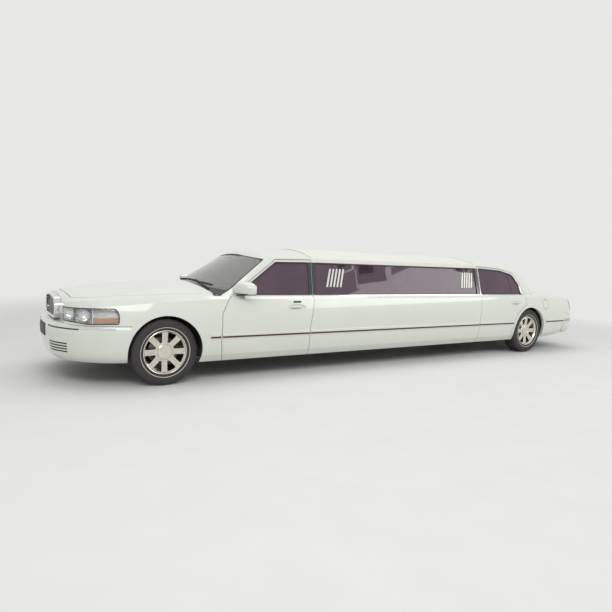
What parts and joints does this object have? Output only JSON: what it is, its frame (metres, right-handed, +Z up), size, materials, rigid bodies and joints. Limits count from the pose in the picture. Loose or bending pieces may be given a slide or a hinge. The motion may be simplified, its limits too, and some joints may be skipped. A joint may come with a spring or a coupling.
{
  "type": "stretch limousine",
  "caption": "White stretched limousine with opening doors, hood and boot, a long glazed passenger cabin, steered front wheels.",
  "frame": {"origin": "on the ground at the middle of the bounding box", "axes": "+X forward along the car, +Y to the car's left, +Z up"},
  "size_m": [8.5263, 2.1468, 1.4971],
  "materials": {
    "paint": "gloss",
    "glass": "tinted",
    "lens": "clear",
    "tail_lens": "gloss",
    "chrome": "polished",
    "wheel": "satin",
    "tyre": "matte",
    "frame_black": "satin",
    "cast": "matte",
    "steel": "satin",
    "trim": "matte",
    "leather": "satin"
  },
  "bodies": {
    "body": {"headlamps": "lens", "nose_panel": "paint", "front_fenders": "paint", "grille": "chrome", "cowl": "paint", "roof_shell": "paint", "windscreen": "glass", "rear_window": "glass", "stretch_windows": "glass", "stretch_panels": "paint", "tail_lamps": "tail_lens", "quarter_panels": "paint", "front_bumper": "paint", "rear_bumper": "paint", "floor_pan": "paint", "rear_floor": "paint", "tail_panel": "paint", "wheelhouse_liners": "trim", "frame_rails": "frame_black", "cross_members": "frame_black", "engine": "cast", "radiator": "frame_black", "driveline": "cast", "rear_axle": "cast", "front_suspension": "cast", "fuel_tank": "frame_black", "exhaust": "steel", "dashboard": "trim", "front_seats": "leather", "partition": "trim", "lounge_seats": "leather", "rear_seat": "leather"},
    "front_door_left": {"door_front_left": "paint", "door_glass_front_left": "glass", "mirror_left": "paint"},
    "front_door_right": {"door_front_right": "paint", "door_glass_front_right": "glass", "mirror_right": "paint"},
    "rear_door_left": {"door_rear_left": "paint", "door_glass_rear_left": "glass"},
    "rear_door_right": {"door_rear_right": "paint", "door_glass_rear_right": "glass"},
    "hood_lid": {"hood": "paint"},
    "boot": {"boot_lid": "paint"},
    "fuel_flap": {"fuel_door": "paint"},
    "hand_wheel": {"steering_wheel": "trim"},
    "steer_left_body": {"knuckle_left": "cast"},
    "steer_right_body": {"knuckle_right": "cast"},
    "wheel_front_left": {"rim_front_left": "wheel", "tyre_front_left": "tyre"},
    "wheel_front_right": {"rim_front_right": "wheel", "tyre_front_right": "tyre"},
    "wheel_rear_left": {"rim_rear_left": "wheel", "tyre_rear_left": "tyre"},
    "wheel_rear_right": {"rim_rear_right": "wheel", "tyre_rear_right": "tyre"}
  },
  "joints": [
    {"name": "wheel_front_left_spin", "type": "hinge", "parent": "steer_left_body", "child": "wheel_front_left", "pos_m": [3.2095, 0.805, 0.351], "axis": [0, 1, 0], "continuous": true},
    {"name": "wheel_front_right_spin", "type": "hinge", "parent": "steer_right_body", "child": "wheel_front_right", "pos_m": [3.2095, -0.805, 0.351], "axis": [0, 1, 0], "continuous": true},
    {"name": "wheel_rear_left_spin", "type": "hinge", "parent": "body", "child": "wheel_rear_left", "pos_m": [-2.8285, 0.828, 0.351], "axis": [0, 1, 0], "continuous": true},
    {"name": "wheel_rear_right_spin", "type": "hinge", "parent": "body", "child": "wheel_rear_right", "pos_m": [-2.8285, -0.828, 0.351], "axis": [0, 1, 0], "continuous": true},
    {"name": "steer_left", "type": "hinge", "parent": "body", "child": "steer_left_body", "pos_m": [3.2095, 0.735, 0.351], "axis": [0, 0, 1], "range_deg": [-32, 32]},
    {"name": "steer_right", "type": "hinge", "parent": "body", "child": "steer_right_body", "pos_m": [3.2095, -0.735, 0.351], "axis": [0, 0, 1], "range_deg": [-32, 32]},
    {"name": "steering_wheel_turn", "type": "hinge", "parent": "body", "child": "hand_wheel", "pos_m": [2.0795, 0.38, 0.85], "axis": [-0.9063, 0, 0.4226], "range_deg": [-480, 480]},
    {"name": "front_door_left_hinge", "type": "hinge", "parent": "body", "child": "front_door_left", "pos_m": [2.5805, 0.979, 0.6], "axis": [0, 0, -1], "range_deg": [0, 70]},
    {"name": "rear_door_left_hinge", "type": "hinge", "parent": "body", "child": "rear_door_left", "pos_m": [-1.6165, 0.979, 0.6], "axis": [0, 0, -1], "range_deg": [0, 70]},
    {"name": "front_door_right_hinge", "type": "hinge", "parent": "body", "child": "front_door_right", "pos_m": [2.5805, -0.979, 0.6], "axis": [0, 0, 1], "range_deg": [0, 70]},
    {"name": "rear_door_right_hinge", "type": "hinge", "parent": "body", "child": "rear_door_right", "pos_m": [-1.6165, -0.979, 0.6], "axis": [0, 0, 1], "range_deg": [0, 70]},
    {"name": "hood_hinge", "type": "hinge", "parent": "body", "child": "hood_lid", "pos_m": [2.6145, 0, 1.057], "axis": [0, -1, 0], "range_deg": [0, 50]},
    {"name": "boot_hinge", "type": "hinge", "parent": "body", "child": "boot", "pos_m": [-3.1585, 0, 1.04], "axis": [0, 1, 0], "range_deg": [0, 75]},
    {"name": "fuel_door_hinge", "type": "hinge", "parent": "body", "child": "fuel_flap", "pos_m": [-3.1685, 0.956, 0.785], "axis": [0, 0.2331, -0.9725], "range_deg": [0, 80]}
  ],
  "couplings": [
    {"joint": "steer_right", "follows": "steer_left", "ratio": 1},
    {"joint": "steering_wheel_turn", "follows": "steer_left", "ratio": 15}
  ]
}
